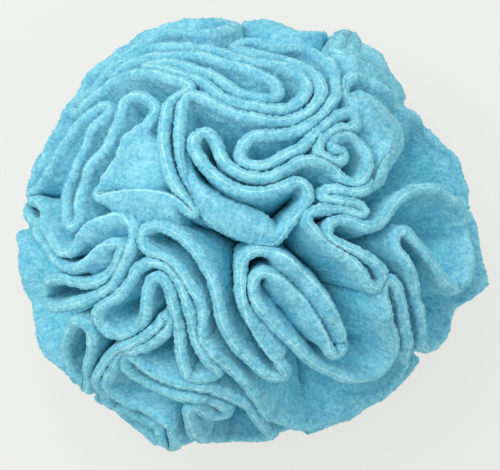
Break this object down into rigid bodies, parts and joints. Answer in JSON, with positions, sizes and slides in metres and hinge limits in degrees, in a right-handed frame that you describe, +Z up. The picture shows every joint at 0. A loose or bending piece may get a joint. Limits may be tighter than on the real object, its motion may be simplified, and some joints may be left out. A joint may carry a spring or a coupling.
{
  "type": "plush snuffle ball",
  "caption": "Soft ball of round fleece discs gathered at their middles, whose ruffled rims make folds and pockets for hiding treats.",
  "frame": {"origin": "bottom centre of the ball's bounding box, on the floor", "axes": "+Z up, from the floor through the ball's middle; +X along the ball's longest extent, to the picture's right; +Y to the picture's top"},
  "size_m": [0.1586, 0.1464, 0.1399],
  "materials": {
    "fleece": "sky blue double-pile fleece, short soft nap, matt",
    "tie": "pale nylon, slightly glossy"
  },
  "bodies": {
    "root": {"cable_tie": "tie", "fleece_disc_far_side": "fleece", "fleece_disc_left_pocket": "fleece", "fleece_disc_left_pocket_under": "fleece", "fleece_disc_left_side": "fleece", "fleece_disc_left_wave": "fleece", "fleece_disc_left_wave_under": "fleece", "fleece_disc_lower_left_loop": "fleece", "fleece_disc_lower_left_loop_under": "fleece", "fleece_disc_lower_left_sweep": "fleece", "fleece_disc_lower_left_sweep_under": "fleece", "fleece_disc_lower_ruffle": "fleece", "fleece_disc_lower_ruffle_under": "fleece", "fleece_disc_lower_sweep": "fleece", "fleece_disc_lower_sweep_under": "fleece", "fleece_disc_near_left_side": "fleece", "fleece_disc_near_side": "fleece", "fleece_disc_right_wave": "fleece", "fleece_disc_right_wave_under": "fleece", "fleece_disc_upper_left_fan": "fleece", "fleece_disc_upper_left_fan_under": "fleece", "fleece_disc_upper_right_flap": "fleece", "fleece_disc_upper_right_flap_under": "fleece", "fleece_disc_upper_rosette": "fleece", "fleece_disc_upper_rosette_under": "fleece", "fleece_disc_upper_tongues": "fleece", "fleece_disc_upper_tongues_under": "fleece"}
  },
  "joints": []
}
